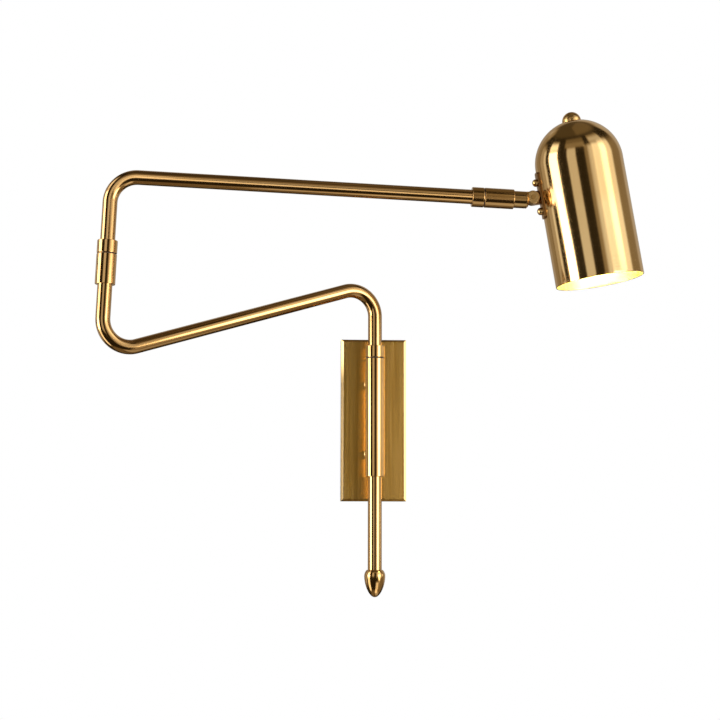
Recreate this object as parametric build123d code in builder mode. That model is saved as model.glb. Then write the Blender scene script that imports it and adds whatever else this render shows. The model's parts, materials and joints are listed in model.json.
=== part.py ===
from build123d import *
import os

# An adjustable wall lamp with a swinging elbow arm and a tilting shade, in millimetres.
# X is to the right, Y into the wall and Z up. The origin is the centre of the wall plate's back, on the wall.

# Fits and clearances
fixed_gap = 0.05  # radial gap of what is pressed, soldered or screwed together
running_gap = 0.06  # radial gap of what turns in its bore
face_gap = 0.05  # gap between flat faces that turn on each other
swing_gap = 0.35  # gap between edges that pass each other

# Pose of the arms and the shade, in degrees
quarter_turn = 90.0  # a right angle
lower_swing = 20.7  # lower arm, out from the wall
elbow_lean = 2.5  # elbow axis, off the vertical
upper_swing = -19.9  # upper arm, from folded back over the lower arm
shade_tilt = 11.5  # shade axis, off square to the upper arm
swing_in = 20.0  # how far the lower arm still turns towards the wall
swing_out = 158.0  # how far it turns round to the other side

# Wall plate and strap
plate_width = 60.0
plate_height = 149.0
plate_depth = 14.0
plate_wall = 1.5
plate_bevel = 2.2
strap_width = 20.0
strap_thickness = 2.0
strap_bend = 0.6
lug_length = 9.0
wall_slot_spacing = 88.0
wall_slot_width = 5.5
wall_slot_length = 12.0
supply_hole = 12.0
supply_hole_height = 18.0
plate_screw = 4.0
plate_screw_length = 8.0
socket_size = 2.0
socket_depth = 1.6

# Screws inside the plate
screw_diameter = 4.0
screw_head = 7.6
screw_head_height = 2.4
screw_slot = 1.0
washer_diameter = 9.0
washer_thickness = 0.8
earth_screw_inset = 13.0
block_poles = 3
block_pole_pitch = 8.0
block_height = 12.0
block_depth = 7.6
block_corner = 1.0
block_drop = 10.0
block_wire_bore = 3.6
block_screw = 3.2
block_fixing = 3.0
block_fixing_head = 5.4
block_fixing_head_height = 2.0

# Tube, sleeves and collars
tube_diameter = 12.7
tube_wall = 1.2
bend_radius = 23.0
bush_wall = 1.1
bush_length = 14.0
bush_recess = 0.8
sleeve_wall = 1.14
edge_radius = 0.5
seam_depth = 0.55
thrust_thickness = 0.6

# Wall pivot
rod_offset = 15.0
sleeve_length = 108.0
sleeve_rise = 1.4
saddle_spacing = 64.0
saddle_width = 19.4
saddle_height = 9.2
saddle_lip = 4.4
saddle_round = 1.6
saddle_screw_spacing = 10.8
saddle_thread = 5.0
wire_bore = 5.0
wire_slot_margin = 12.0
stop_collar_height = 10.9
set_screw = 4.0

# Lower arm
rod_drop = 136.5
corner_height = 124.6
arm_reach = 256.5
arm_drop = 78.5
finial_height = 24.4
finial_diameter = 19.0
finial_top = 14.6
finial_shoulder = 5.4
finial_socket = 8.0
finial_belly = 8.1
finial_nose = 5.2

# Elbow and tip pivots
elbow_height = 61.2
elbow_sleeve_length = 26.4
elbow_collar_length = 11.2
tube_socket = 12.0
end_wall = 5.0
stem_diameter = 8.0
stem_bore = 5.4
stem_thread = 4.5
stem_end = 1.0
spring_thickness = 0.8
nut_height = 4.0
nut_gap = 0.35
nut_slot = 1.6

# Upper arm
riser_height = 156.0
tip_reach = 312.7
tip_collar_length = 10.4
tip_sleeve_length = 25.8

# Tilt knuckle
neck_diameter = 14.9
neck_length = 12.8
neck_chamfer = 1.4
neck_groove = 0.5
neck_groove_inset = 2.2
spigot_length = 8.0
ear_radius = 5.95
ear_width = 9.4
ear_thickness = 4.6
ear_root = 1.5
ear_rounding = 0.8
pin_reach = 3.9
pin_rise = 2.1
pin_diameter = 4.0
pin_proud = 0.6
pin_head = 7.0
pin_head_height = 2.4
friction_washer = 10.0
friction_thickness = 0.5

# Shade and its bracket
shade_diameter = 77.4
shade_wall = 1.0
rim_round = 0.4
shade_cylinder = 106.0
pin_above_mouth = 81.4
strip_thickness = 1.5
strip_width = 10.0
strip_above = 21.6
strip_below = 19.6
strip_corner = 2.0
bracket_screw_rise = 12.8
bracket_screw = 3.0
bracket_head = 6.6
bracket_head_height = 4.1
bracket_head_rim = 1.3
bracket_head_fullness = 0.55
bracket_nut = 5.5
bracket_nut_height = 2.2
ball_diameter = 16.6
ball_sink = 0.2
ball_thread = 5.5

# Lamp holder and bulb
nipple_diameter = 10.0
nipple_bore = 7.0
lock_nut = 14.0
lock_nut_height = 3.5
holder_diameter = 38.0
holder_wall = 2.2
holder_cap_height = 22.0
holder_crown = 9.0
holder_thread = 8.0
holder_body_height = 31.0
holder_floor = 4.0
holder_lip = 40.0
holder_lip_height = 3.0
cap_diameter = 26.4
cap_gap = 0.5
cap_height = 22.0
cap_contact = 9.0
cap_contact_height = 3.0
cap_insulator = 5.0
globe_diameter = 45.0
globe_neck = 24.0
globe_neck_length = 10.0
globe_wall = 1.0
globe_seat = 3.0

os.makedirs("parts", exist_ok=True)

# Sizes that follow from the fits
tube_radius = tube_diameter / 2
socket_bore = tube_diameter + 2 * fixed_gap
bush_bore = tube_diameter + 2 * running_gap
sleeve_bore = bush_bore + 2 * (bush_wall + fixed_gap)
barrel_diameter = sleeve_bore + 2 * sleeve_wall
thrust_diameter = barrel_diameter - 2 * seam_depth
nut_diameter = socket_bore - 2 * nut_gap
shade_radius = shade_diameter / 2
pin_to_strip = ear_radius + swing_gap
pin_to_axis = pin_to_strip + strip_thickness + fixed_gap + shade_radius
strap_height = plate_height - 2 * (plate_wall + fixed_gap)
earth_screw_height = strap_height / 2 - earth_screw_inset

# Frames. Every turned piece is drawn on a plane whose Y is its axis
up = Vector(0, 0, 1)
plate_front = Plane.XZ.offset(plate_depth)
strap_front = Plane.XZ.offset(strap_thickness)
rod_profile = Plane.XZ.offset(plate_depth + rod_offset)
rod_foot = rod_profile.origin

lower_out = Vector(-1, 0, 0).rotate(Axis.Z, lower_swing)
lower_side = Plane(rod_foot, x_dir=lower_out, z_dir=lower_out.cross(up))
lean_axis = Axis((0, 0, 0), lower_side.z_dir)
elbow_up = up.rotate(lean_axis, elbow_lean)
elbow_foot = lower_side.from_local_coords(Vector(arm_reach, corner_height - arm_drop))

upper_out = (lower_out * -1).rotate(lean_axis, elbow_lean).rotate(Axis((0, 0, 0), elbow_up), upper_swing)
upper_side = Plane(elbow_foot, x_dir=upper_out, z_dir=upper_out.cross(elbow_up))
upper_corner = elbow_foot + elbow_up * riser_height

# Each pivot's seat is the face of its sleeve's end wall, with Y going into the sleeve
washer_and_gap = thrust_thickness + face_gap
tip_sleeve_start = tip_reach + tip_collar_length + washer_and_gap
neck_end = tip_sleeve_start + tip_sleeve_length + neck_length
elbow_seat = Plane(
    elbow_foot + elbow_up * (elbow_height + elbow_sleeve_length),
    x_dir=upper_out,
    z_dir=elbow_up.cross(upper_out),
)
tip_seat = Plane(
    upper_corner + upper_out * tip_sleeve_start,
    x_dir=elbow_up,
    z_dir=elbow_up.cross(upper_out),
)

pin = upper_corner + upper_out * (neck_end + pin_reach) + elbow_up * pin_rise
pin_side = Plane(pin, x_dir=upper_out, z_dir=upper_side.z_dir)
tilt_axis = Axis((0, 0, 0), pin_side.z_dir)
shade_out = upper_out.rotate(tilt_axis, shade_tilt)
shade_up = elbow_up.rotate(tilt_axis, shade_tilt)
shade_side = Plane(pin, x_dir=shade_out, z_dir=pin_side.z_dir)
shade_mouth = pin + shade_out * pin_to_axis - shade_up * pin_above_mouth
shade_profile = Plane(shade_mouth, x_dir=shade_out, z_dir=pin_side.z_dir)
dome_centre = shade_mouth + shade_up * shade_cylinder


def save(piece, label):
    piece.part.label = label
    export_step(piece.part, f"parts/{label}.step")


def turning_axis(profile):
    return Axis(profile.origin, profile.y_dir)


def block(inner, outer, start, end, mode=Mode.ADD):
    # A rectangle of a turned profile, between two radii and two stations
    with Locations((inner, start)):
        Rectangle(outer - inner, end - start, align=Align.MIN, mode=mode)


def ring(profile, inner, outer, start, end):
    with BuildPart() as piece:
        with BuildSketch(profile):
            block(inner, outer, start, end)
        revolve(axis=turning_axis(profile))
    return piece


def barrel(start, end):
    # The outline that all sleeves and collars share, with softly broken outer edges
    block(0, barrel_diameter / 2, start, end)
    fillet(vertices().group_by(Axis.X)[-1], edge_radius)


def pan_head(profile, diameter, head, head_height, length):
    # A pan-head screw with a slot: the head stands towards -Y of its profile and the shank towards +Y
    with BuildPart() as screw:
        with BuildSketch(profile):
            block(0, head / 2, -head_height, 0)
            fillet(vertices().group_by(Axis.X)[-1].sort_by(Axis.Y)[0], head_height / 2)
            block(0, diameter / 2, 0, length)
        revolve(axis=turning_axis(profile))
        head_top = profile.origin - profile.y_dir * head_height
        with BuildSketch(Plane(head_top, x_dir=profile.x_dir, z_dir=profile.y_dir)):
            Rectangle(head, screw_slot)
        extrude(amount=head_height / 2, mode=Mode.SUBTRACT)
    return screw.part


def upright(face, x, height):
    # A turned profile whose Y goes straight out of a face that looks into the room
    origin = face.from_local_coords(Vector(x, height))
    return Plane(origin, x_dir=face.x_dir, z_dir=face.x_dir.cross(face.z_dir))


def inward(face, x, height):
    # The same, with Y going back towards the wall
    origin = face.from_local_coords(Vector(x, height))
    return Plane(origin, x_dir=face.x_dir, z_dir=face.z_dir.cross(face.x_dir))


# Wall strap: a flat bar with slotted wall holes and its ends bent forward into tapped lugs
lug_screw_depth = (strap_thickness + lug_length) / 2
terminal_x = block_pole_pitch / 2
with BuildPart() as wall_strap:
    with BuildSketch(Plane.YZ):
        with Locations((-lug_length / 2, 0)):
            Rectangle(lug_length, strap_height)
        fillet(vertices().group_by(Axis.X)[-1], strap_bend + strap_thickness)
        with Locations((-(strap_thickness + lug_length) / 2, 0)):
            Rectangle(lug_length - strap_thickness, strap_height - 2 * strap_thickness, mode=Mode.SUBTRACT)
        fillet(vertices().filter_by_position(Axis.X, -strap_thickness, -strap_thickness), strap_bend)
    extrude(amount=strap_width / 2, both=True)
    with BuildSketch(Plane.XZ):
        with GridLocations(0, wall_slot_spacing, 1, 2):
            SlotOverall(wall_slot_length, wall_slot_width, rotation=quarter_turn)
        with Locations((0, supply_hole_height)):
            Circle(supply_hole / 2)
        with Locations((0, earth_screw_height)):
            Circle(screw_diameter / 2 + fixed_gap)
        with Locations((terminal_x, -block_drop)):
            Circle(block_fixing / 2 + fixed_gap)
    extrude(amount=strap_thickness, mode=Mode.SUBTRACT)
    with Locations((0, -lug_screw_depth, 0)):
        Cylinder(plate_screw / 2 + fixed_gap, plate_height, mode=Mode.SUBTRACT)
save(wall_strap, "wall_strap")

# Wall plate: a bevelled brass pan, open at the back
wire_height = -saddle_spacing / 2
with BuildPart() as back_plate:
    with BuildSketch(Plane.XZ):
        Rectangle(plate_width, plate_height)
    extrude(amount=plate_depth)
    chamfer(faces().sort_by(Axis.Y)[0].edges(), plate_bevel)
    offset(amount=-plate_wall, openings=faces().sort_by(Axis.Y)[-1], kind=Kind.INTERSECTION)
    with BuildSketch(plate_front):
        with GridLocations(saddle_screw_spacing, saddle_spacing, 2, 2):
            Circle(screw_diameter / 2 + fixed_gap)
        with Locations((0, wire_height)):
            Circle(wire_bore / 2)
    extrude(amount=-plate_wall, mode=Mode.SUBTRACT)
    with Locations((0, -lug_screw_depth, 0)):
        Cylinder(plate_screw / 2 + fixed_gap, plate_height, mode=Mode.SUBTRACT)
save(back_plate, "back_plate")

# Grub screws through the pan's top and bottom walls into the strap's lugs
with BuildPart() as plate_screws:
    for side in (1, -1):
        outer_end = Vector(0, -lug_screw_depth, side * plate_height / 2)
        screw_end = Plane(outer_end, x_dir=(1, 0, 0), z_dir=(0, 0, side))
        with BuildSketch(screw_end):
            Circle(plate_screw / 2)
        extrude(amount=-plate_screw_length)
        with BuildSketch(screw_end):
            RegularPolygon(socket_size / 2, 6, major_radius=False)
        extrude(amount=-socket_depth, mode=Mode.SUBTRACT)
save(plate_screws, "plate_screws")

# Earth screw on the strap
with BuildPart() as earth_screw:
    add(pan_head(inward(strap_front, 0, earth_screw_height), screw_diameter, screw_head, screw_head_height,
                 strap_thickness))
save(earth_screw, "earth_screw")

# Terminal block for the supply wires, screwed to the strap
block_middle = -block_drop
block_front = Plane.XZ.offset(strap_thickness + block_depth)
with BuildPart() as terminal_block:
    with BuildSketch(strap_front):
        with Locations((0, block_middle)):
            RectangleRounded(block_poles * block_pole_pitch, block_height, block_corner)
    extrude(amount=block_depth)
    with BuildSketch(Plane.XY.offset(block_middle - block_height / 2)):
        with Locations((0, -strap_thickness - block_depth / 2)):
            with GridLocations(block_pole_pitch, 0, block_poles, 1):
                Circle(block_wire_bore / 2)
    extrude(amount=block_height, mode=Mode.SUBTRACT)
    with BuildSketch(block_front):
        with Locations((0, block_middle)):
            with GridLocations(block_pole_pitch, 0, block_poles, 1):
                Circle(block_screw / 2 + fixed_gap)
    extrude(amount=-block_depth / 2, mode=Mode.SUBTRACT)
    with BuildSketch(block_front):
        with Locations((terminal_x, block_middle)):
            Circle(block_fixing / 2 + fixed_gap)
    extrude(amount=-block_depth, mode=Mode.SUBTRACT)
save(terminal_block, "terminal_block")

with BuildPart() as terminal_screws:
    with BuildSketch(block_front):
        with Locations((0, block_middle)):
            with GridLocations(block_pole_pitch, 0, block_poles, 1):
                Circle(block_screw / 2)
    extrude(amount=-(block_depth - block_wire_bore) / 2)
save(terminal_screws, "terminal_screws")

with BuildPart() as terminal_fixing:
    add(pan_head(inward(block_front, terminal_x, block_middle), block_fixing, block_fixing_head,
                 block_fixing_head_height, block_depth + strap_thickness))
save(terminal_fixing, "terminal_fixing")

# Saddles: rounded blocks that hold the sleeve off the plate. The wires pass through the lower one
for label, height in (("upper_saddle", saddle_spacing / 2), ("lower_saddle", -saddle_spacing / 2)):
    with BuildPart() as saddle:
        with BuildSketch(plate_front):
            with Locations((0, height)):
                SlotOverall(saddle_width, saddle_height)
        extrude(amount=rod_offset - saddle_lip)
        fillet(faces().sort_by(Axis.Y)[0].edges(), saddle_round)
        with Locations((0, rod_foot.Y, height)):
            Cylinder(barrel_diameter / 2 + fixed_gap, 2 * saddle_height, mode=Mode.SUBTRACT)
        with BuildSketch(plate_front):
            with Locations((0, height)):
                with GridLocations(saddle_screw_spacing, 0, 2, 1):
                    Circle(screw_diameter / 2 + fixed_gap)
        extrude(amount=saddle_thread, mode=Mode.SUBTRACT)
        if height == wire_height:
            with BuildSketch(plate_front):
                with Locations((0, height)):
                    Circle(wire_bore / 2)
            extrude(amount=rod_offset, mode=Mode.SUBTRACT)
    save(saddle, label)

# Screws and washers that hold the saddles from inside the pan
washer_face = Plane.XZ.offset(plate_depth - plate_wall - washer_thickness)
saddle_screw_length = washer_thickness + plate_wall + saddle_thread - swing_gap
with BuildPart() as saddle_screws:
    for spot in GridLocations(saddle_screw_spacing, saddle_spacing, 2, 2):
        spot_profile = upright(washer_face, spot.position.X, spot.position.Y)
        add(pan_head(spot_profile, screw_diameter, screw_head, screw_head_height, saddle_screw_length))
save(saddle_screws, "saddle_screws")

with BuildPart() as saddle_washers:
    with BuildSketch(washer_face):
        with GridLocations(saddle_screw_spacing, saddle_spacing, 2, 2):
            Circle(washer_diameter / 2)
            Circle(screw_diameter / 2 + fixed_gap, mode=Mode.SUBTRACT)
    extrude(amount=washer_thickness)
save(saddle_washers, "saddle_washers")

# Pivot sleeve, with a window for the wires behind the lower saddle, and its two bushes
sleeve_bottom = sleeve_rise - sleeve_length / 2
sleeve_top = sleeve_bottom + sleeve_length
with BuildPart() as pivot_sleeve:
    with BuildSketch(rod_profile):
        barrel(sleeve_bottom, sleeve_top)
        block(0, sleeve_bore / 2, sleeve_bottom, sleeve_top, mode=Mode.SUBTRACT)
    revolve(axis=turning_axis(rod_profile))
    with BuildSketch(rod_profile):
        with Locations((0, wire_height)):
            Circle(wire_bore / 2)
    extrude(amount=-barrel_diameter, mode=Mode.SUBTRACT)
save(pivot_sleeve, "pivot_sleeve")

bush_outer = sleeve_bore / 2 - fixed_gap
upper_bush = ring(rod_profile, bush_bore / 2, bush_outer, sleeve_top - bush_length, sleeve_top)
save(upper_bush, "upper_bush")
lower_bush_start = sleeve_bottom + bush_recess
lower_bush = ring(rod_profile, bush_bore / 2, bush_outer, lower_bush_start, lower_bush_start + bush_length)
save(lower_bush, "lower_bush")

washer_top = sleeve_top + thrust_thickness
wall_thrust_washer = ring(rod_profile, bush_bore / 2, thrust_diameter / 2, sleeve_top, washer_top)
save(wall_thrust_washer, "wall_thrust_washer")

# Lower arm: one bent tube from the finial up through the sleeve, down along the arm and up into the elbow
rod_end = -rod_drop - finial_socket
lower_tube_top = elbow_height + tube_socket
riser_end = lower_side.to_local_coords(elbow_foot + elbow_up * lower_tube_top)
slot_start = quarter_turn - swing_out - wire_slot_margin
slot_arc = swing_in + swing_out + 2 * wire_slot_margin
slot_out = Vector(1, 0, 0).rotate(Axis.Z, slot_start)
with BuildPart() as lower_arm_tube:
    with BuildLine(lower_side) as lower_path:
        FilletPolyline(
            (0, rod_end),
            (0, corner_height),
            (arm_reach, corner_height - arm_drop),
            (riser_end.X, riser_end.Y),
            radius=bend_radius,
        )
    with BuildSketch(Plane(lower_path.line @ 0, z_dir=lower_path.line % 0)):
        Circle(tube_radius)
        Circle(tube_radius - tube_wall, mode=Mode.SUBTRACT)
    sweep(path=lower_path.line)
    with BuildSketch(Plane(rod_foot, x_dir=slot_out, z_dir=slot_out.cross(up))):
        slot_bottom = wire_height - wire_bore / 2
        block(tube_radius - 2 * tube_wall, barrel_diameter / 2, slot_bottom, slot_bottom + wire_bore)
    revolve(axis=Axis(rod_foot, up), revolution_arc=slot_arc, mode=Mode.SUBTRACT)
save(lower_arm_tube, "lower_arm_tube")

# Stop collar that rides on the sleeve, with a set screw at its back
collar_bottom = sleeve_top + washer_and_gap
collar_middle = collar_bottom + stop_collar_height / 2
with BuildPart() as stop_collar:
    with BuildSketch(rod_profile):
        barrel(collar_bottom, collar_bottom + stop_collar_height)
        block(0, socket_bore / 2, collar_bottom, collar_bottom + stop_collar_height, mode=Mode.SUBTRACT)
    revolve(axis=turning_axis(rod_profile))
    with BuildSketch(rod_profile):
        with Locations((0, collar_middle)):
            Circle(set_screw / 2 + fixed_gap)
    extrude(amount=-barrel_diameter, mode=Mode.SUBTRACT)
save(stop_collar, "stop_collar")

set_screw_back = rod_profile.offset(edge_radius - barrel_diameter / 2)
with BuildPart() as collar_set_screw:
    with BuildSketch(set_screw_back):
        with Locations((0, collar_middle)):
            Circle(set_screw / 2)
    extrude(amount=barrel_diameter / 2 - edge_radius - tube_radius - fixed_gap)
    with BuildSketch(set_screw_back):
        with Locations((0, collar_middle)):
            RegularPolygon(socket_size / 2, 6, major_radius=False)
    extrude(amount=socket_depth / 2, mode=Mode.SUBTRACT)
save(collar_set_screw, "collar_set_screw")

# Acorn finial at the rod's lower end
with BuildPart() as bottom_finial:
    with BuildSketch(rod_profile):
        with BuildLine():
            widest = (finial_diameter / 2, -rod_drop - finial_shoulder)
            tip = (0, -rod_drop - finial_height)
            belly = (finial_diameter / 2, -rod_drop - finial_shoulder - finial_belly)
            nose = (finial_nose, -rod_drop - finial_height)
            TangentArc(widest, (finial_top / 2, -rod_drop), tangent=(0, 1))
            Bezier(widest, belly, nose, tip)
            Polyline(tip, (0, -rod_drop), (finial_top / 2, -rod_drop))
        make_face()
        block(0, socket_bore / 2, -rod_drop - finial_socket, -rod_drop, mode=Mode.SUBTRACT)
    revolve(axis=turning_axis(rod_profile))
save(bottom_finial, "bottom_finial")

# The elbow and the tip share one pivot: a hollow stem is screwed into the collar, passes through
# the sleeve's end wall and is held there by a spring washer and a slotted round nut
thread_radius = stem_diameter / 2 + fixed_gap
stem_start = -washer_and_gap - stem_thread
nut_start = end_wall + face_gap + spring_thickness
stem_length = nut_start + nut_height + stem_end
pivots = (
    ("elbow", elbow_seat, elbow_sleeve_length, elbow_collar_length),
    ("tip", tip_seat, tip_sleeve_length, tip_collar_length),
)
for joint, seat, joint_sleeve_length, joint_collar_length in pivots:
    with BuildPart() as sleeve:
        with BuildSketch(seat):
            barrel(0, joint_sleeve_length)
            block(0, stem_diameter / 2 + running_gap, 0, end_wall, mode=Mode.SUBTRACT)
            block(0, socket_bore / 2, end_wall, joint_sleeve_length, mode=Mode.SUBTRACT)
        revolve(axis=turning_axis(seat))
    save(sleeve, f"{joint}_sleeve")

    collar_end = -washer_and_gap - joint_collar_length
    with BuildPart() as collar:
        with BuildSketch(seat):
            barrel(collar_end, -washer_and_gap)
            block(0, thread_radius, stem_start, -washer_and_gap, mode=Mode.SUBTRACT)
            block(0, socket_bore / 2, collar_end, stem_start, mode=Mode.SUBTRACT)
        revolve(axis=turning_axis(seat))
    save(collar, f"{joint}_collar")

    stem = ring(seat, stem_bore / 2, stem_diameter / 2, stem_start, stem_length)
    save(stem, f"{joint}_stem")
    spring = ring(seat, thread_radius, nut_diameter / 2, end_wall + face_gap, nut_start)
    save(spring, f"{joint}_spring_washer")
    thrust = ring(seat, stem_diameter / 2 + running_gap, thrust_diameter / 2, -thrust_thickness, 0)
    save(thrust, f"{joint}_thrust_washer")

    with BuildPart() as nut:
        with BuildSketch(seat):
            block(thread_radius, nut_diameter / 2, nut_start, nut_start + nut_height)
        revolve(axis=turning_axis(seat))
        nut_face = seat.origin + seat.y_dir * (nut_start + nut_height)
        with BuildSketch(Plane(nut_face, x_dir=seat.x_dir, z_dir=seat.y_dir)):
            Rectangle(2 * nut_diameter, nut_slot)
        extrude(amount=-nut_height / 2, mode=Mode.SUBTRACT)
    save(nut, f"{joint}_nut")

# Upper arm: one bent tube from the elbow collar up and out to the tip collar
upper_tube_start = elbow_height + elbow_sleeve_length + washer_and_gap + stem_thread
upper_tube_end = tip_reach + tip_collar_length - stem_thread
with BuildPart() as upper_arm_tube:
    with BuildLine(upper_side) as upper_path:
        FilletPolyline(
            (0, upper_tube_start),
            (0, riser_height),
            (upper_tube_end, riser_height),
            radius=bend_radius,
        )
    with BuildSketch(Plane(upper_path.line @ 0, z_dir=upper_path.line % 0)):
        Circle(tube_radius)
        Circle(tube_radius - tube_wall, mode=Mode.SUBTRACT)
    sweep(path=upper_path.line)
save(upper_arm_tube, "upper_arm_tube")

# Knuckle neck: a turned neck with a front ear, its rear half cut back for the shade's ear
front_face = pin_side.offset(friction_thickness / 2)
rear_face = shade_side.offset(-friction_thickness / 2)
ear_profile = Plane(front_face.origin, x_dir=upper_out, z_dir=upper_out.cross(pin_side.z_dir))
with BuildPart() as knuckle_neck:
    with BuildSketch(ear_profile):
        block(0, ear_radius, 0, ear_thickness)
        fillet(vertices().group_by(Axis.X)[-1].sort_by(Axis.Y)[-1], ear_rounding)
    revolve(axis=turning_axis(ear_profile))
    with BuildSketch(front_face):
        with Locations((-pin_reach - ear_root, 0)):
            Rectangle(pin_reach + ear_root, ear_width, align=(Align.MIN, Align.CENTER))
    extrude(amount=ear_thickness - ear_rounding)
    with BuildSketch(tip_seat):
        neck_start = tip_sleeve_length
        block(0, neck_diameter / 2, neck_start, neck_start + neck_length)
        chamfer(vertices().group_by(Axis.X)[-1].sort_by(Axis.Y)[-1], neck_chamfer)
        groove_end = neck_start + neck_length - neck_groove_inset
        block(neck_diameter / 2 - neck_groove, neck_diameter / 2, groove_end - neck_groove, groove_end,
              mode=Mode.SUBTRACT)
        block(0, tube_radius, neck_start - spigot_length, neck_start)
    revolve(axis=turning_axis(tip_seat))
    with BuildSketch(front_face):
        Circle(ear_radius + swing_gap)
    extrude(amount=-neck_diameter, mode=Mode.SUBTRACT)
    with BuildSketch(front_face):
        Circle(pin_diameter / 2 + fixed_gap)
    extrude(amount=ear_thickness, mode=Mode.SUBTRACT)
    with BuildSketch(tip_seat):
        block(0, wire_bore / 2, neck_start - spigot_length, neck_start + neck_length)
    revolve(axis=turning_axis(tip_seat), mode=Mode.SUBTRACT)
save(knuckle_neck, "knuckle_neck")

# Shade bracket: a strip curved to the shade with a rear ear that laps the neck's ear
strip_foot = Plane(pin - shade_up * strip_below, x_dir=shade_out, z_dir=shade_up)
strip_outer = shade_radius + fixed_gap + strip_thickness
with BuildPart() as shade_bracket:
    with BuildSketch(strip_foot):
        with Locations((pin_to_axis, 0)):
            Circle(strip_outer)
            Circle(shade_radius + fixed_gap, mode=Mode.SUBTRACT)
        with Locations((pin_to_axis - strip_outer, 0)):
            Rectangle(2 * strip_width, strip_width, mode=Mode.INTERSECT)
    extrude(amount=strip_above + strip_below)
    fillet(edges().filter_by(Axis((0, 0, 0), shade_out)), strip_corner)
    with BuildSketch(rear_face):
        Circle(ear_radius)
        Rectangle(pin_to_strip + strip_thickness / 2, 2 * ear_radius, align=(Align.MIN, Align.CENTER))
    extrude(amount=-ear_thickness)
    with BuildSketch(rear_face):
        Circle(pin_diameter / 2 + running_gap)
    extrude(amount=-ear_thickness, mode=Mode.SUBTRACT)
    for rise in (bracket_screw_rise, -bracket_screw_rise):
        with BuildSketch(Plane(pin + shade_up * rise, x_dir=shade_up, z_dir=shade_out)):
            Circle(bracket_screw / 2 + fixed_gap)
        extrude(amount=pin_to_axis, mode=Mode.SUBTRACT)
save(shade_bracket, "shade_bracket")

# Tilt screw from the back through both ears, with a spring washer under its head
# and a friction washer between the ears
rear_ear_back = friction_thickness / 2 + ear_thickness + face_gap
head_seat = rear_ear_back + spring_thickness
tilt_profile = Plane(pin - pin_side.z_dir * head_seat, x_dir=upper_out, z_dir=upper_out.cross(pin_side.z_dir))
with BuildPart() as tilt_screw:
    tilt_screw_length = head_seat + friction_thickness / 2 + ear_thickness + pin_proud
    add(pan_head(tilt_profile, pin_diameter, pin_head, pin_head_height, tilt_screw_length))
save(tilt_screw, "tilt_screw")

tilt_hole = pin_diameter / 2 + fixed_gap
tilt_spring_washer = ring(tilt_profile, tilt_hole, pin_head / 2, 0, spring_thickness)
save(tilt_spring_washer, "tilt_spring_washer")
friction_start = head_seat - friction_thickness / 2 + face_gap
tilt_friction_washer = ring(
    tilt_profile, tilt_hole, friction_washer / 2, friction_start, head_seat + friction_thickness / 2
)
save(tilt_friction_washer, "tilt_friction_washer")

# Shade: a spun cylinder closed by a hemisphere, open below
nipple_hole = nipple_diameter / 2 + fixed_gap
with BuildPart() as shade_shell:
    with BuildSketch(shade_profile):
        with BuildLine():
            inner_radius = shade_radius - shade_wall
            Polyline(
                (inner_radius, shade_cylinder),
                (inner_radius, 0),
                (shade_radius, 0),
                (shade_radius, shade_cylinder),
            )
            CenterArc((0, shade_cylinder), shade_radius, 0, quarter_turn)
            CenterArc((0, shade_cylinder), inner_radius, 0, quarter_turn)
            Line((0, shade_cylinder + inner_radius), (0, shade_cylinder + shade_radius))
        make_face()
        fillet(vertices().group_by(Axis.Y)[0], rim_round)
        block(0, nipple_hole, shade_cylinder, shade_cylinder + shade_diameter, mode=Mode.SUBTRACT)
    revolve(axis=turning_axis(shade_profile))
    for rise in (bracket_screw_rise, -bracket_screw_rise):
        with BuildSketch(Plane(pin + shade_up * rise, x_dir=shade_up, z_dir=shade_out)):
            Circle(bracket_screw / 2 + fixed_gap)
        extrude(amount=pin_to_axis, mode=Mode.SUBTRACT)
save(shade_shell, "shade_shell")

# Round-head bracket screws with nuts inside the shade
nut_corner = bracket_nut / 3**0.5
nut_sag = inner_radius - (inner_radius**2 - nut_corner**2) ** 0.5
nut_seat = strip_thickness + fixed_gap + shade_wall + nut_sag
bracket_screw_length = nut_seat + bracket_nut_height + bracket_screw / 2
with BuildPart() as bracket_screws:
    for rise in (bracket_screw_rise, -bracket_screw_rise):
        seat_point = shade_side.from_local_coords(Vector(pin_to_strip, rise))
        screw_profile = Plane(seat_point, x_dir=shade_up, z_dir=shade_up.cross(shade_out))
        with BuildSketch(screw_profile):
            with BuildLine():
                head_radius = bracket_head / 2
                head_side = (head_radius, -bracket_head_rim)
                head_top = (0, -bracket_head_height)
                dome_pull = bracket_head_fullness * (bracket_head_height - bracket_head_rim)
                side_pull = (head_radius, -bracket_head_rim - dome_pull)
                top_pull = (bracket_head_fullness * head_radius, -bracket_head_height)
                Bezier(head_side, side_pull, top_pull, head_top)
                Polyline(head_side, (head_radius, 0), (0, 0), head_top)
            make_face()
            block(0, bracket_screw / 2, 0, bracket_screw_length)
        revolve(axis=turning_axis(screw_profile))
save(bracket_screws, "bracket_screws")

with BuildPart() as bracket_nuts:
    for rise in (bracket_screw_rise, -bracket_screw_rise):
        nut_point = shade_side.from_local_coords(Vector(pin_to_strip + nut_seat, rise))
        with BuildSketch(Plane(nut_point, x_dir=shade_up, z_dir=shade_out)):
            RegularPolygon(bracket_nut / 2, 6, major_radius=False)
            Circle(bracket_screw / 2 + fixed_gap, mode=Mode.SUBTRACT)
        extrude(amount=bracket_nut_height)
save(bracket_nuts, "bracket_nuts")

# Ball finial on the dome, hollowed below to sit on it
shade_top = shade_cylinder + shade_radius
with BuildPart() as ball_finial:
    with Locations(dome_centre + shade_up * (shade_radius - ball_sink)):
        Sphere(ball_diameter / 2)
    with Locations(dome_centre):
        Sphere(shade_radius + fixed_gap, mode=Mode.SUBTRACT)
    with BuildSketch(shade_profile):
        block(0, nipple_hole, shade_cylinder, shade_top + ball_thread)
    revolve(axis=turning_axis(shade_profile), mode=Mode.SUBTRACT)
save(ball_finial, "ball_finial")

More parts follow.
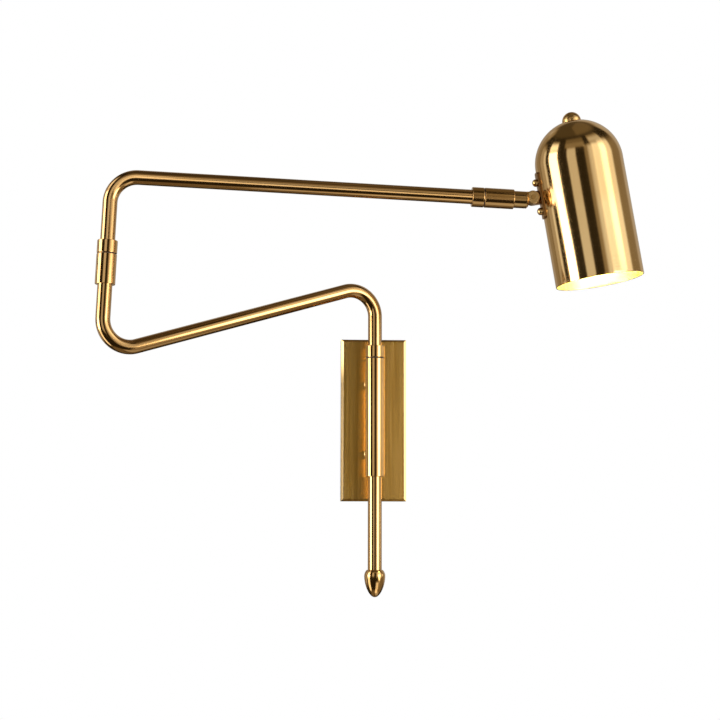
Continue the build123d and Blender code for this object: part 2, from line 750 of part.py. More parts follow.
# Threaded nipple, and the nut that clamps the shade against the ball
lock_corner = lock_nut / 3**0.5
lock_sag = inner_radius - (inner_radius**2 - lock_corner**2) ** 0.5
lock_top = shade_cylinder + inner_radius - lock_sag
holder_top = lock_top - lock_nut_height - face_gap
nipple_bottom = holder_top - holder_thread
nipple_top = shade_top + ball_thread - face_gap
holder_nipple = ring(shade_profile, nipple_bore / 2, nipple_diameter / 2, nipple_bottom, nipple_top)
save(holder_nipple, "holder_nipple")

with BuildPart() as holder_lock_nut:
    with BuildSketch(Plane(shade_mouth + shade_up * lock_top, x_dir=shade_out, z_dir=shade_up)):
        RegularPolygon(lock_nut / 2, 6, major_radius=False)
        Circle(nipple_hole, mode=Mode.SUBTRACT)
    extrude(amount=-lock_nut_height)
save(holder_lock_nut, "holder_lock_nut")

# Lamp holder: a crowned cap on the nipple and a threaded body below it
holder_radius = holder_diameter / 2
cap_bottom = holder_top - holder_cap_height
with BuildPart() as holder_cap:
    with BuildSketch(shade_profile):
        block(0, holder_radius, cap_bottom, holder_top)
        fillet(vertices().group_by(Axis.X)[-1].sort_by(Axis.Y)[-1], holder_crown)
        block(0, holder_radius - holder_wall, cap_bottom, nipple_bottom, mode=Mode.SUBTRACT)
        block(0, nipple_hole, nipple_bottom, holder_top, mode=Mode.SUBTRACT)
    revolve(axis=turning_axis(shade_profile))
save(holder_cap, "holder_cap")

body_top = cap_bottom - fixed_gap
body_bottom = body_top - holder_body_height
bulb_bore = cap_diameter / 2 + cap_gap
with BuildPart() as holder_body:
    with BuildSketch(shade_profile):
        block(0, holder_radius, body_bottom, body_top)
        block(0, holder_lip / 2, body_bottom, body_bottom + holder_lip_height)
        block(0, bulb_bore, body_bottom, body_top - holder_floor, mode=Mode.SUBTRACT)
    revolve(axis=turning_axis(shade_profile))
save(holder_body, "holder_body")

# Bulb: a screw cap with its centre contact against the holder's floor, and a hollow globe
contact_top = body_top - holder_floor - fixed_gap
shell_top = contact_top - cap_contact_height - cap_insulator
shell_bottom = contact_top - cap_height
cap_radius = cap_diameter / 2
with BuildPart() as bulb_cap:
    with BuildSketch(shade_profile):
        with BuildLine():
            Polyline(
                (0, contact_top),
                (cap_contact / 2, contact_top),
                (cap_contact / 2, contact_top - cap_contact_height),
                (cap_radius, shell_top),
                (cap_radius, shell_bottom),
                (0, shell_bottom),
                close=True,
            )
        make_face()
        block(0, globe_neck / 2 + fixed_gap, shell_bottom, shell_bottom + globe_seat, mode=Mode.SUBTRACT)
    revolve(axis=turning_axis(shade_profile))
save(bulb_cap, "bulb_cap")

globe_radius = globe_diameter / 2
neck_radius = globe_neck / 2
neck_foot = shell_bottom - globe_neck_length
globe_centre = neck_foot - (globe_radius**2 - neck_radius**2) ** 0.5
with BuildPart() as bulb_glass:
    with BuildSketch(shade_profile):
        with Locations((0, globe_centre)):
            Circle(globe_radius)
        block(0, neck_radius, globe_centre, shell_bottom + globe_seat - fixed_gap)
        with Locations((0, globe_centre)):
            Circle(globe_radius - globe_wall, mode=Mode.SUBTRACT)
        block(0, neck_radius - globe_wall, globe_centre, shell_bottom + globe_seat, mode=Mode.SUBTRACT)
        block(-globe_diameter, 0, globe_centre - globe_radius, shell_bottom + globe_seat, mode=Mode.SUBTRACT)
    revolve(axis=turning_axis(shade_profile))
save(bulb_glass, "bulb_glass")
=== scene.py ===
import bpy
import bmesh
import json
import math
from mathutils import Matrix, Quaternion, Vector


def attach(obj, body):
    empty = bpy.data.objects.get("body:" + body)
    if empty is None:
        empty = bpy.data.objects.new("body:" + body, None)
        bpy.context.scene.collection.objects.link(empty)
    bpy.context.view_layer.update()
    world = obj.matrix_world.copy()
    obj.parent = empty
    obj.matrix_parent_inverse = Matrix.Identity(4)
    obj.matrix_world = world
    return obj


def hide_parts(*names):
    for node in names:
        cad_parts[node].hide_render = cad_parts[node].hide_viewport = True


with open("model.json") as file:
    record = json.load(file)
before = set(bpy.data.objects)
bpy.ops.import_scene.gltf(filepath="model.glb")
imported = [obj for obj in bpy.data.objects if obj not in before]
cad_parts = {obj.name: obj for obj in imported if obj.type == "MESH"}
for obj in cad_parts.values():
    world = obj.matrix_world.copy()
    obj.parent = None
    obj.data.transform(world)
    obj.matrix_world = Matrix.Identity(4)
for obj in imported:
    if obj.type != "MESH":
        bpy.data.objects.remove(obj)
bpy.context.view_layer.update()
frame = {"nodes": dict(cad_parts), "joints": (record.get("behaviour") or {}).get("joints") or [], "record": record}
nodes = frame["nodes"]
joints = {j["name"]: j for j in frame["joints"]}
mm = 0.001
print("frame loaded:", len(nodes), "nodes")

# lines of the lamp at rest, read from its joints
up = Vector((0, 0, 1))
rodFoot = Vector(joints["wall_swing"]["pos_m"])
elbowSeat = Vector(joints["elbow_swing"]["pos_m"])
elbowUp = Vector(joints["elbow_swing"]["axis"]).normalized()
armOut = Vector(joints["shade_swivel"]["axis"]).normalized()
tiltPin = Vector(joints["shade_tilt"]["pos_m"])
tiltSide = Vector(joints["shade_tilt"]["axis"]).normalized()


# node helpers

def addNode(tree, kind, **values):
    node = tree.nodes.new(kind)
    for key, value in values.items():
        setattr(node, key, value)
    return node


def calc(tree, operation, *values):
    # one math node; each value is a number or another node's output
    node = addNode(tree, "ShaderNodeMath", operation=operation)
    for socket, value in zip(node.inputs, values):
        if isinstance(value, (int, float)):
            socket.default_value = value
        else:
            tree.links.new(value, socket)
    return node.outputs[0]


def ramp(tree, value, span, levels=(0.0, 1.0), shape="LINEAR"):
    # goes from the first level to the last while the value crosses the span
    node = addNode(tree, "ShaderNodeMapRange", interpolation_type=shape)
    for label, number in zip(("From Min", "From Max", "To Min", "To Max"), (*span, *levels)):
        node.inputs[label].default_value = number
    tree.links.new(value, node.inputs["Value"])
    return node.outputs[0]


def mixTo(tree, factor, first, plain, kind):
    # from another node's output to a plain value
    node = addNode(tree, "ShaderNodeMix", data_type=kind)
    node.inputs["B"].default_value = plain
    tree.links.new(factor, node.inputs["Factor"])
    tree.links.new(first, node.inputs["A"])
    return node.outputs["Result"]


def alongX(tree, place):
    parts = addNode(tree, "ShaderNodeSeparateXYZ")
    tree.links.new(place.outputs["Object"], parts.inputs[0])
    return parts.outputs["X"]


def newMaterial(name):
    mat = bpy.data.materials.new(name)
    mat.use_nodes = True
    tree = mat.node_tree
    tree.nodes.clear()
    return mat, tree, addNode(tree, "ShaderNodeOutputMaterial")


# effects that the finishes share

def newGroup(name, inputs, outputs):
    group = bpy.data.node_groups.new(name, "ShaderNodeTree")
    for label, kind in inputs.items():
        group.interface.new_socket(label, in_out="INPUT", socket_type=kind)
    for label, kind in outputs.items():
        group.interface.new_socket(label, in_out="OUTPUT", socket_type=kind)
    return group, group.nodes.new("NodeGroupInput").outputs, group.nodes.new("NodeGroupOutput").inputs


brushing = {"detail": 4.0, "roughness": 0.65, "span": (0.3, 0.7)}


def makeBrushLines():
    # fine lines left by a brushing wheel, long one way and narrow the other
    group, given, result = newGroup(
        "brushLines",
        {"Vector": "NodeSocketVector", "Across": "NodeSocketFloat", "Along": "NodeSocketFloat"},
        {"Lines": "NodeSocketFloat", "Height": "NodeSocketFloat"},
    )
    spread = addNode(group, "ShaderNodeCombineXYZ")
    scaled = addNode(group, "ShaderNodeVectorMath", operation="MULTIPLY")
    noise = addNode(group, "ShaderNodeTexNoise")
    noise.inputs["Scale"].default_value = 1.0
    noise.inputs["Detail"].default_value = brushing["detail"]
    noise.inputs["Roughness"].default_value = brushing["roughness"]
    link = group.links.new
    link(given["Across"], spread.inputs["X"])
    link(given["Along"], spread.inputs["Y"])
    link(given["Across"], spread.inputs["Z"])
    link(given["Vector"], scaled.inputs[0])
    link(spread.outputs[0], scaled.inputs[1])
    link(scaled.outputs[0], noise.inputs["Vector"])
    link(ramp(group, noise.outputs["Fac"], brushing["span"]), result["Lines"])
    link(noise.outputs["Fac"], result["Height"])
    return group


lacquer = {"detail": 3.0, "span": (0.35, 0.65)}


def makeLacquerTone():
    # slow drift between two tones, as clear lacquer on brass shows
    group, given, result = newGroup(
        "lacquerTone",
        {"Vector": "NodeSocketVector", "Scale": "NodeSocketFloat",
         "Deep": "NodeSocketColor", "Light": "NodeSocketColor"},
        {"Color": "NodeSocketColor"},
    )
    noise = addNode(group, "ShaderNodeTexNoise")
    noise.inputs["Detail"].default_value = lacquer["detail"]
    mix = addNode(group, "ShaderNodeMix", data_type="RGBA")
    link = group.links.new
    link(given["Vector"], noise.inputs["Vector"])
    link(given["Scale"], noise.inputs["Scale"])
    link(ramp(group, noise.outputs["Fac"], lacquer["span"], shape="SMOOTHSTEP"), mix.inputs["Factor"])
    link(given["Deep"], mix.inputs["A"])
    link(given["Light"], mix.inputs["B"])
    link(mix.outputs["Result"], result["Color"])
    return group


brushLines = makeBrushLines()
lacquerTone = makeLacquerTone()


# effects of one piece each

def satinPast(tree, place, roughness, satin):
    # polished up to a place along X and satin past it
    span = (satin["from"] - satin["fade"], satin["from"] + satin["fade"])
    return mixTo(tree, ramp(tree, alongX(tree, place), span), roughness, satin["rough"], "FLOAT")


def crownedFace(tree, place, crown):
    # a stamped face stands a little higher along its middle
    square = calc(tree, "POWER", alongX(tree, place), 2.0)
    height = calc(tree, "MULTIPLY", square, -crown["rise"] / crown["halfWidth"] ** 2)
    bump = addNode(tree, "ShaderNodeBump")
    bump.inputs["Distance"].default_value = 1.0
    tree.links.new(height, bump.inputs["Height"])
    return bump.outputs[0]


def pastMiddle(tree, place, edge):
    # 0 over the face and 1 past a place either side of its middle
    span = (edge["from"] - edge["fade"], edge["from"] + edge["fade"])
    return ramp(tree, calc(tree, "ABSOLUTE", alongX(tree, place)), span)


# what a finish has unless it says otherwise
usual = {
    "cloudScale": 18.0, "cloudStretch": (1, 1, 1), "turn": (0, 0, 0), "bump": 0.1, "bumpDepth": 0.2 * mm,
    "metallic": 0.0, "coat": 0.0, "coatRough": 0.06,
}


def finish(name, settings):
    # one material: a toned colour, brushing lines in roughness and bump
    look = {**usual, **settings}
    mat, tree, out = newMaterial(name)
    link = tree.links.new
    bsdf = addNode(tree, "ShaderNodeBsdfPrincipled")
    place = addNode(tree, "ShaderNodeTexCoord")

    drift = addNode(tree, "ShaderNodeMapping")
    drift.inputs["Scale"].default_value = look["cloudStretch"]
    tone = addNode(tree, "ShaderNodeGroup", node_tree=lacquerTone)
    tone.inputs["Scale"].default_value = look["cloudScale"]
    tone.inputs["Deep"].default_value = (*look["deep"], 1)
    tone.inputs["Light"].default_value = (*look["light"], 1)
    link(place.outputs["Object"], drift.inputs["Vector"])
    link(drift.outputs[0], tone.inputs["Vector"])
    colour = tone.outputs["Color"]

    turn = addNode(tree, "ShaderNodeMapping")
    turn.inputs["Rotation"].default_value = look["turn"]
    lines = addNode(tree, "ShaderNodeGroup", node_tree=brushLines)
    lines.inputs["Across"].default_value = look["across"]
    lines.inputs["Along"].default_value = look["along"]
    link(place.outputs["UV" if look.get("uv") else "Object"], turn.inputs["Vector"])
    link(turn.outputs[0], lines.inputs["Vector"])
    roughness = ramp(tree, lines.outputs["Lines"], (0.0, 1.0), look["rough"])

    if "satin" in look:
        roughness = satinPast(tree, place, roughness, look["satin"])
    if "edge" in look:
        # the bevels are cut bright
        past = pastMiddle(tree, place, look["edge"])
        roughness = mixTo(tree, past, roughness, look["edge"]["rough"], "FLOAT")
        colour = mixTo(tree, past, colour, (*look["edge"]["tone"], 1), "RGBA")
    link(roughness, bsdf.inputs["Roughness"])
    link(colour, bsdf.inputs["Base Color"])

    bump = addNode(tree, "ShaderNodeBump")
    bump.inputs["Strength"].default_value = look["bump"]
    bump.inputs["Distance"].default_value = look["bumpDepth"]
    link(lines.outputs["Height"], bump.inputs["Height"])
    if "crown" in look:
        link(crownedFace(tree, place, look["crown"]), bump.inputs["Normal"])
    link(bump.outputs[0], bsdf.inputs["Normal"])

    bsdf.inputs["Metallic"].default_value = look["metallic"]
    bsdf.inputs["Coat Weight"].default_value = look["coat"]
    bsdf.inputs["Coat Roughness"].default_value = look["coatRough"]
    if "spread" in look:
        # fine marks in the metal stretch reflections one way
        bsdf.inputs["Anisotropic"].default_value = look["spread"]
        bsdf.inputs["Anisotropic Rotation"].default_value = look["spreadTurn"]
    if "tangent" in look:
        tangent = addNode(tree, "ShaderNodeTangent", **look["tangent"])
        link(tangent.outputs[0], bsdf.inputs["Tangent"])
    if "glow" in look:
        bsdf.inputs["Emission Color"].default_value = (*look["glow"], 1)
        bsdf.inputs["Emission Strength"].default_value = look["glowStrength"]
    link(bsdf.outputs[0], out.inputs["Surface"])
    return mat


# tones of brass, and the way their reflections stretch
paleBrass = {"deep": (0.74, 0.46, 0.17), "light": (0.80, 0.52, 0.21), "metallic": 1.0}
sleeveBrass = {"deep": (0.62, 0.345, 0.095), "light": (0.69, 0.395, 0.125), "metallic": 1.0, "coat": 1.0}
alongPiece = {"spread": 0.6, "spreadTurn": 0.25}
byUv = {"direction_type": "UV_MAP"}
aboutArm = {"direction_type": "RADIAL", "axis": "X"}

# one finish for each material slot of the record
finishes = {
    "brass_plate": finish("satinPlateBrass", {
        "deep": (0.62, 0.345, 0.07), "light": (0.73, 0.43, 0.11), "metallic": 1.0, "coat": 0.4,
        "rough": (0.22, 0.28), "across": 900.0, "along": 6.0, "turn": (math.pi / 2, 0, 0), "bump": 0.02,
        "spread": 0.8, "spreadTurn": 0.0, "cloudScale": 420.0, "cloudStretch": (1, 1, 0.03),
        "crown": {"halfWidth": 30 * mm, "rise": 0.35 * mm},
        "edge": {"from": 27.6 * mm, "fade": 0.2 * mm, "tone": (0.80, 0.52, 0.20), "rough": 0.08},
    }),
    "brass_tube": finish("tubeBrass", {
        "deep": (0.53, 0.29, 0.078), "light": (0.59, 0.335, 0.105), "metallic": 1.0, "coat": 1.0,
        "rough": (0.11, 0.14), "uv": True, "across": 40.0, "along": 300.0, "bump": 0.002,
        **alongPiece, "tangent": byUv,
    }),
    "brass_turned": finish("turnedBrass", {
        **sleeveBrass, **alongPiece, "rough": (0.11, 0.14), "across": 90.0, "along": 90.0, "bump": 0.002,
    }),
    "brass_knuckle": finish("knuckleBrass", {
        "deep": (0.58, 0.35, 0.13), "light": (0.65, 0.41, 0.16), "metallic": 1.0,
        "rough": (0.10, 0.14), "across": 120.0, "along": 120.0, "bump": 0.004,
        "satin": {"from": tiltPin.x - 6.2 * mm, "fade": 0.4 * mm, "rough": 0.28},
    }),
    "brass_shade": finish("shadeBrass", {
        "deep": (0.77, 0.50, 0.21), "light": (0.83, 0.56, 0.25), "metallic": 1.0,
        "rough": (0.10, 0.15), "uv": True, "across": 14.0, "along": 600.0, "bump": 0.004,
        "spread": 0.5, "spreadTurn": 0.25, "tangent": byUv,
    }),
    "brass_screw": finish("screwBrass", {
        **paleBrass, "rough": (0.07, 0.11), "across": 300.0, "along": 300.0, "bump": 0.01,
    }),
    "zinc_steel": finish("zincSteel", {
        "deep": (0.50, 0.51, 0.52), "light": (0.64, 0.64, 0.62), "metallic": 1.0, "cloudScale": 90.0,
        "rough": (0.25, 0.42), "across": 700.0, "along": 700.0,
    }),
    "nylon": finish("darkNylon", {
        "deep": (0.016, 0.014, 0.012), "light": (0.03, 0.027, 0.024),
        "rough": (0.45, 0.6), "across": 600.0, "along": 600.0,
    }),
    "terminal": finish("naturalNylon", {
        "deep": (0.66, 0.64, 0.57), "light": (0.76, 0.74, 0.68),
        "rough": (0.38, 0.5), "across": 500.0, "along": 500.0,
    }),
    "holder": finish("whiteHolder", {
        "deep": (0.70, 0.68, 0.62), "light": (0.78, 0.76, 0.71), "coat": 0.3,
        "rough": (0.18, 0.28), "across": 300.0, "along": 300.0,
    }),
    "bulb_metal": finish("rolledShell", {
        "deep": (0.66, 0.66, 0.65), "light": (0.80, 0.80, 0.78), "metallic": 1.0,
        "rough": (0.2, 0.32), "across": 900.0, "along": 900.0,
    }),
    "bulb_glass": finish("opalGlass", {
        "deep": (0.86, 0.82, 0.74), "light": (0.90, 0.87, 0.80),
        "rough": (0.12, 0.2), "across": 200.0, "along": 200.0,
        "glow": (1.0, 0.95, 0.82), "glowStrength": 100.0,
    }),
}

# pieces that look different from the rest of their slot
insideBrass = finish("shadeInside", {
    "deep": (0.92, 0.84, 0.36), "light": (0.94, 0.88, 0.46), "metallic": 1.0,
    "rough": (0.30, 0.38), "uv": True, "across": 1200.0, "along": 1200.0, "bump": 0.04,
})
tipFinish = finish("tipBrass", {  # turned about the arm, not upright
    **sleeveBrass, **alongPiece, "tangent": aboutArm,
    "rough": (0.11, 0.15), "across": 90.0, "along": 90.0, "bump": 0.002,
})
# the bracket is a darker, browner brass than the other pieces
bracketFinish = finish("darkBrownBracket", {
    "deep": (0.30, 0.15, 0.05), "light": (0.40, 0.22, 0.08), "metallic": 1.0,
    "rough": (0.16, 0.22), "across": 200.0, "along": 200.0, "bump": 0.01,
})
ballFinish = finish("ballBrass", {
    **paleBrass, "rough": (0.26, 0.32), "across": 120.0, "along": 120.0, "bump": 0.004,
})
ownFinish = {
    "tip_collar": tipFinish,
    "tip_sleeve": tipFinish,
    "shade_bracket": bracketFinish,
    "ball_finial": ballFinish,
}
for row in frame["record"]["subparts"]:
    shown = nodes[row["node"]].data
    shown.materials.clear()
    shown.materials.append(ownFinish.get(row["node"], finishes[row["material_slot"]]))
print("finishes:", len(finishes) + len({insideBrass, *ownFinish.values()}))


# mesh makers

def placeMesh(name, bm, *mats):
    data = bpy.data.meshes.new(name)
    bm.to_mesh(data)
    bm.free()
    for mat in mats:
        data.materials.append(mat)
    obj = bpy.data.objects.new(name, data)
    bpy.context.scene.collection.objects.link(obj)
    return obj


crease = math.radians(35)  # edges sharper than this stay crisp


def meshPiece(name, bm, mats, body, slot, *stands):
    bmesh.ops.recalc_face_normals(bm, faces=bm.faces)
    obj = placeMesh(name, bm, *mats)
    obj.data.shade_smooth()
    obj.data.set_sharp_from_angle(angle=crease)
    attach(obj, body)
    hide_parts(*stands)
    return obj


def onceRound(count):
    # cosine and sine of evenly spaced angles
    angles = [2 * math.pi * k / count for k in range(count)]
    return [(math.cos(a), math.sin(a)) for a in angles]


def skin(bm, rings, lengths, girth):
    # quads between closed rings, the last joined to the first; UV is girth around and length along, in metres
    uv = bm.loops.layers.uv.verify()
    grid = [[bm.verts.new(p) for p in ring] for ring in rings]
    n = len(grid[0])
    faces = []
    for i, (a, b) in enumerate(zip(grid, grid[1:] + grid[:1])):
        for k in range(n):
            face = bm.faces.new((a[k], a[(k + 1) % n], b[(k + 1) % n], b[k]))
            corners = ((k, i), (k + 1, i), (k + 1, i + 1), (k, i + 1))
            for loop, (around, along) in zip(face.loops, corners):
                loop[uv].uv = (around / n * girth, lengths[along])
            faces.append(face)
    return faces


def runningLengths(points):
    total = [0.0]
    for a, b in zip(points, points[1:]):
        total.append(total[-1] + math.dist(a, b))
    return total


# the two bent arms

tubes = {"radius": 6.35 * mm, "wall": 1.2 * mm, "bend": 23 * mm, "around": 72, "bendSteps": 28}


def bentPath(points, bend, steps):
    # centre line with rounded corners, as (point, direction)
    path = [(points[0], (points[1] - points[0]).normalized())]
    for before, corner, after in zip(points, points[1:], points[2:]):
        inDir = (corner - before).normalized()
        outDir = (after - corner).normalized()
        angle = inDir.angle(outDir)
        axis = inDir.cross(outDir).normalized()
        start = corner - inDir * (bend * math.tan(angle / 2))
        centre = start + axis.cross(inDir) * bend
        for i in range(steps + 1):
            turn = Matrix.Rotation(angle * i / steps, 3, axis)
            path.append((centre + turn @ (start - centre), turn @ inDir))
    path.append((points[-1], (points[-1] - points[-2]).normalized()))
    return path


def bentTube(name, points, body, node):
    # outside along the path, then back along it for the inside
    path = bentPath(points, tubes["bend"], tubes["bendSteps"])
    side = (points[1] - points[0]).cross(points[2] - points[1]).normalized()
    circle = onceRound(tubes["around"])

    def ring(point, direction, radius):
        across = direction.cross(side)
        return [point + side * (radius * c) + across * (radius * s) for c, s in circle]

    outer = [ring(p, d, tubes["radius"]) for p, d in path]
    inner = [ring(p, d, tubes["radius"] - tubes["wall"]) for p, d in reversed(path)]
    centres = [p for p, d in path]
    lengths = runningLengths(centres + centres[::-1] + centres[:1])
    bm = bmesh.new()
    skin(bm, outer + inner, lengths, 2 * math.pi * tubes["radius"])
    return meshPiece(name, bm, [finishes["brass_tube"]], body, "brass_tube", node)


lowerArm = {"rodEnd": -144.5 * mm, "corner": 124.6 * mm, "seatDrop": 87.6 * mm, "intoSleeve": 14.4 * mm}
elbowFoot = elbowSeat - elbowUp * lowerArm["seatDrop"]
bentTube("lowerArm", [
    rodFoot + up * lowerArm["rodEnd"],
    rodFoot + up * lowerArm["corner"],
    elbowFoot,
    elbowSeat - elbowUp * lowerArm["intoSleeve"],
], "lower_arm", "lower_arm_tube")

upperArm = {"start": 5.15 * mm, "riser": 156.0 * mm, "tipEnd": 318.6 * mm}
upperCorner = elbowFoot + elbowUp * upperArm["riser"]
upperTube = bentTube("upperArm", [
    elbowSeat + elbowUp * upperArm["start"],
    upperCorner,
    upperCorner + armOut * upperArm["tipEnd"],
], "upper_arm", "upper_arm_tube")
print("tubes made")


# the spun shade

shade = {
    "tilt": 11.5, "pinAbove": 81.4 * mm, "pinOut": 46.55 * mm,  # how it hangs from the tilt pin
    "radius": 38.7 * mm, "wall": 1.0 * mm, "height": 106.0 * mm, "hole": 5.05 * mm,
    "rimRound": 0.4 * mm, "rimRun": 2.4 * mm,
    "around": 192, "domeSteps": 48, "rimSteps": 6,
}
lean = Matrix.Rotation(math.radians(shade["tilt"]), 3, tiltSide)
shadeUp = lean @ elbowUp
shadeOut = lean @ armOut
shadeMouth = tiltPin + shadeOut * shade["pinOut"] - shadeUp * shade["pinAbove"]


def arc(centre, radius, first, last, steps):
    # points round a centre, with angles counted from straight up
    angles = [first + (last - first) * i / steps for i in range(steps + 1)]
    return [(centre[0] + radius * math.sin(a), centre[1] + radius * math.cos(a)) for a in angles]


def shadeProfile():
    # (radius, height) from the dome's hole down the outside, round the rim and up the inside,
    # and the number of the rim's last point
    outer = shade["radius"]
    inner = outer - shade["wall"]
    rim = shade["rimRound"]
    top = (0.0, shade["height"])
    level = math.pi / 2
    points = arc(top, outer, math.asin(shade["hole"] / outer), level, shade["domeSteps"])
    points.append((outer, shade["rimRun"]))
    points += arc((outer - rim, rim), rim, level, 2 * level, shade["rimSteps"])
    points += arc((inner + rim, rim), rim, 2 * level, 3 * level, shade["rimSteps"])
    lastRim = len(points) - 1
    points.append((inner, shade["rimRun"]))
    points += arc(top, inner, level, math.asin(shade["hole"] / inner), shade["domeSteps"])
    return points, lastRim


def spunShade():
    points, lastRim = shadeProfile()
    third = shadeUp.cross(shadeOut)
    turns = [shadeOut * c + third * s for c, s in onceRound(shade["around"])]
    rings = [[shadeMouth + t * r + shadeUp * h for t in turns] for r, h in points]
    bm = bmesh.new()
    faces = skin(bm, rings, runningLengths(points + points[:1]), 2 * math.pi * shade["radius"])
    for i, face in enumerate(faces):
        inside = lastRim <= i // shade["around"] < len(points) - 1
        face.material_index = 1 if inside else 0
    mats = [finishes["brass_shade"], insideBrass]
    return meshPiece("spunShade", bm, mats, "shade", "brass_shade", "shade_shell")


spunShade()
print("shade made")


# studio: a white background, and round the lamp a shell of soft boxes with dark walls in between

studio = {
    "radius": 1.25,
    "segments": (64, 32),
    # each box: degrees round from the front towards the right, degrees up,
    # softness of its sides and ends in degrees, brightness
    "softBoxes": [
        ((-132, -112), (-25, 45), (8, 14), 0.42),
        ((-113, -104), (-25, 38), (5, 10), 0.80),
        ((-90, -61), (8, 32), (3, 3), 4.0),
        ((-86, -58), (-11, 8), (5, 5), 7.0),
        ((-86, -60), (-50, -11), (5, 5), 2.0),
        ((-90, -61), (33, 50), (4, 14), 1.7),
        ((-32.5, -10), (-10, 36), (3, 6), 0.70),
        ((10, 24), (-14, 10), (4, 6), 0.36),
        ((11.5, 22), (10, 40), (4, 6), 0.26),
        ((21, 32), (-10, 40), (8, 10), 0.80),
        ((32, 60), (-11, 13), (6, 6), 5.5),
        ((38, 56), (-21, -11), (6, 6), 4.0),
        ((30, 60), (-50, -22), (8, 6), 0.40),
        ((31, 48), (15, 42), (7, 8), 1.30),
        ((48, 63), (15, 42), (8, 14), 2.6),
        ((63, 79), (-10, 46), (8, 10), 0.90),
        ((60, 110), (-50, 45), (8, 12), 0.24),
        ((91, 97), (-8, 12), (2, 6), 2.6),
        ((111, 157), (-20, 60), (10, 12), 0.44),
        ((-157, -134), (-20, 55), (10, 12), 0.27),
        ((-165, -128), (54, 66), (10, 8), 0.30),
        ((157, 190), (-8, 60), (8, 12), 0.36),
        ((-190, -157), (-8, 60), (8, 12), 0.36),
        ((-38, 14), (37, 48), (6, 5), 0.26),
        ((-38, 14), (48, 58), (6, 8), 0.16),
        ((28, 66), (44, 57), (6, 12), 0.60),
        ((0, 150), (66, 95), (16, 10), 0.08),
        ((-190, 190), (64, 95), (2, 10), 0.06),
        ((8, 110), (-82, -52), (16, 8), 0.38),
        ((-190, 190), (-83, -54), (2, 8), 0.20),
    ],
    "walls": 0.03,
    "wallTint": (1.0, 0.78, 0.45),
    "tintFades": (0.05, 0.75),  # brightness over which the walls' tint gives way to white
}


def softBox(tree, turn, rise, box):
    # a mask that is 1 inside the box, times its brightness
    across, upright, soft, level = box
    for angle, (low, high), blur in ((turn, across, soft[0]), (rise, upright, soft[1])):
        for edge, levels in ((low, (0.0, 1.0)), (high, (1.0, 0.0))):
            span = (math.radians(edge - blur / 2), math.radians(edge + blur / 2))
            level = calc(tree, "MULTIPLY", ramp(tree, angle, span, levels, "SMOOTHSTEP"), level)
    return level


def softBoxes():
    mat, tree, out = newMaterial("softBoxes")
    link = tree.links.new
    shine = addNode(tree, "ShaderNodeEmission")
    place = addNode(tree, "ShaderNodeTexCoord")
    outward = addNode(tree, "ShaderNodeVectorMath", operation="NORMALIZE")
    parts = addNode(tree, "ShaderNodeSeparateXYZ")
    link(place.outputs["Object"], outward.inputs[0])
    link(outward.outputs[0], parts.inputs[0])
    frontward = calc(tree, "MULTIPLY", parts.outputs["Y"], -1.0)
    turn = calc(tree, "ARCTAN2", parts.outputs["X"], frontward)
    rise = calc(tree, "ARCSINE", parts.outputs["Z"])
    total = studio["walls"]
    for box in studio["softBoxes"]:
        total = calc(tree, "ADD", softBox(tree, turn, rise, box), total)
    link(total, shine.inputs["Strength"])
    # dim walls are warm and the lit boxes white
    tint = addNode(tree, "ShaderNodeMix", data_type="RGBA")
    tint.inputs["A"].default_value = (*studio["wallTint"], 1)
    tint.inputs["B"].default_value = (1, 1, 1, 1)
    link(ramp(tree, total, studio["tintFades"], shape="SMOOTHSTEP"), tint.inputs["Factor"])
    link(tint.outputs["Result"], shine.inputs["Color"])
    link(shine.outputs[0], out.inputs["Surface"])
    return mat


def studioShell():
    # seen by reflections and soft light only, never by the camera
    bm = bmesh.new()
    around, high = studio["segments"]
    bmesh.ops.create_uvsphere(bm, u_segments=around, v_segments=high, radius=studio["radius"])
    obj = placeMesh("studioShell", bm, softBoxes())
    obj.data.shade_smooth()
    obj.visible_camera = False
    obj.visible_shadow = False


def whiteWorld():
    world = bpy.data.worlds.new("whiteWorld")
    world.use_nodes = True
    back = world.node_tree.nodes["Background"]
    back.inputs["Color"].default_value = (1, 1, 1, 1)
    bpy.context.scene.world = world


studioShell()
whiteWorld()

floorPlan = {"height": -0.45, "size": 2.6, "colour": (0.85, 0.85, 0.85), "lift": 0.55}


def paleFloor():
    # lifted to white for the camera, and it keeps the lamp's shadow
    mat, tree, out = newMaterial("paleFloor")
    link = tree.links.new
    rays = addNode(tree, "ShaderNodeLightPath")
    matte = addNode(tree, "ShaderNodeBsdfDiffuse")
    matte.inputs["Color"].default_value = (*floorPlan["colour"], 1)
    white = addNode(tree, "ShaderNodeEmission")
    both = addNode(tree, "ShaderNodeAddShader")
    link(calc(tree, "MULTIPLY", rays.outputs["Is Camera Ray"], floorPlan["lift"]), white.inputs["Strength"])
    link(matte.outputs[0], both.inputs[0])
    link(white.outputs[0], both.inputs[1])
    link(both.outputs[0], out.inputs["Surface"])
    return mat


def whiteFloor():
    bm = bmesh.new()
    bmesh.ops.create_grid(bm, x_segments=1, y_segments=1, size=floorPlan["size"] / 2)
    obj = placeMesh("floor", bm, paleFloor())
    obj.location.z = floorPlan["height"]
    obj.visible_glossy = False


whiteFloor()


# lamps

def areaLamp(name, place, face, roll=0.0):
    # faces along a direction, and is rolled about it by some degrees
    lamp = bpy.data.lights.new(name, "AREA")
    obj = bpy.data.objects.new(name, lamp)
    obj.location = place
    rolled = Quaternion(face, math.radians(roll))
    obj.rotation_euler = (rolled @ face.to_track_quat("-Z", "Y")).to_euler()
    bpy.context.scene.collection.objects.link(obj)
    return obj


keyLamp = {"place": (-0.9, -1.6, 1.3), "aim": (0.0, -0.08, 0.05), "size": 1.2, "power": 14.0}


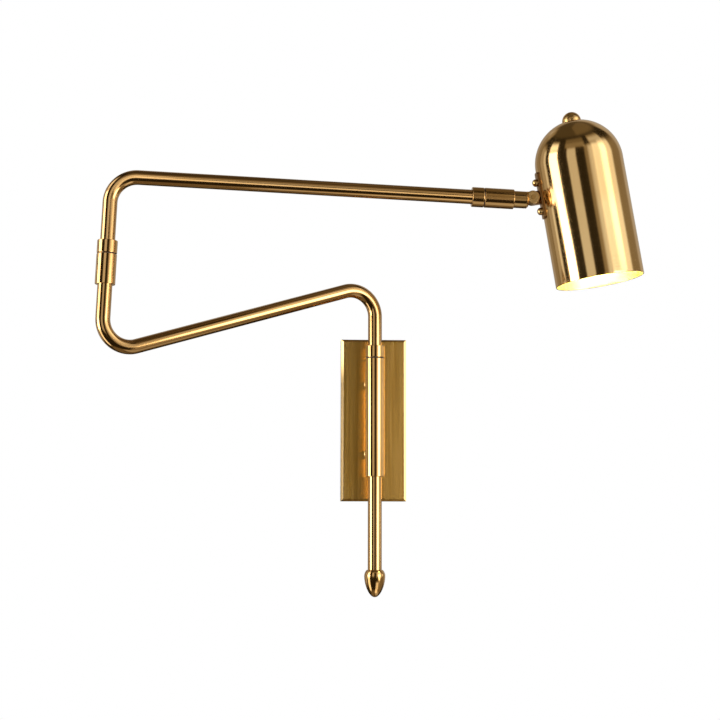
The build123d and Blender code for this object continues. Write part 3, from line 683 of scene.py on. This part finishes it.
def softKey():
    obj = areaLamp("softKey", keyLamp["place"], Vector(keyLamp["aim"]) - Vector(keyLamp["place"]))
    obj.data.size = keyLamp["size"]
    obj.data.energy = keyLamp["power"]
    obj.visible_glossy = False


softKey()

# strip lights that one piece alone sees: place, facing, roll in degrees, width and height, brightness
armStrips = {
    "armCore": {
        "place": (-0.045, -0.70, 0.118), "face": (0, 1, 0), "roll": 14.0,
        "size": (0.52, 0.195), "level": 1.10,
    },
    "armUpper": {
        "place": (-0.045, -0.70, 0.42), "face": (0, 1, 0), "roll": 0.0,
        "size": (0.51, 0.26), "level": 0.38,
    },
    "armBounce": {
        "place": (0.06, -0.23, -0.35), "face": (0, 0, 1), "roll": 0.0,
        "size": (0.38, 0.26), "level": 0.33,
    },
}
finialStrips = {
    "finialSide": {
        "place": (0.16, -0.36, -0.51), "face": (-0.32, 0.62, 0.71), "roll": 0.0,
        "size": (0.24, 0.40), "level": 0.9,
    },
}
wattsPerLevel = 4.0  # for each square metre of a strip


def stripLight(name, strip, seenBy):
    wide, high = strip["size"]
    obj = areaLamp(name, strip["place"], Vector(strip["face"]), strip["roll"])
    obj.data.shape = "RECTANGLE"
    obj.data.size = wide
    obj.data.size_y = high
    obj.data.energy = wattsPerLevel * strip["level"] * wide * high
    obj.light_linking.receiver_collection = seenBy


for piece, strips in ((upperTube, armStrips), (nodes["bottom_finial"], finialStrips)):
    alone = bpy.data.collections.new(piece.name + "Only")
    alone.objects.link(piece)
    for name, strip in strips.items():
        stripLight(name, strip, alone)
print("studio lit")


# camera, fitted to the photograph's edges

cameraPlan = {
    "place": (-0.102, -1.481, -0.1006), "yaw": 3.48, "pitch": 6.06, "roll": -0.11,
    "lens": 80.0, "sensor": 36.0,
}


def photoCamera():
    yaw, pitch, roll = (math.radians(cameraPlan[k]) for k in ("yaw", "pitch", "roll"))
    ahead = Vector((math.sin(yaw) * math.cos(pitch), math.cos(yaw) * math.cos(pitch), math.sin(pitch)))
    right = Vector((math.cos(yaw), -math.sin(yaw), 0))
    down = ahead.cross(right)
    rolledRight = right * math.cos(roll) + down * math.sin(roll)
    rolledDown = down * math.cos(roll) - right * math.sin(roll)
    data = bpy.data.cameras.new("photoCamera")
    data.sensor_width = cameraPlan["sensor"]
    data.lens = cameraPlan["lens"]
    obj = bpy.data.objects.new("photoCamera", data)
    turn = Matrix((rolledRight, -rolledDown, -ahead)).transposed()
    obj.matrix_world = Matrix.Translation(Vector(cameraPlan["place"])) @ turn.to_4x4()
    bpy.context.scene.collection.objects.link(obj)
    bpy.context.scene.camera = obj


photoCamera()
bpy.context.scene.view_settings.view_transform = "Standard"
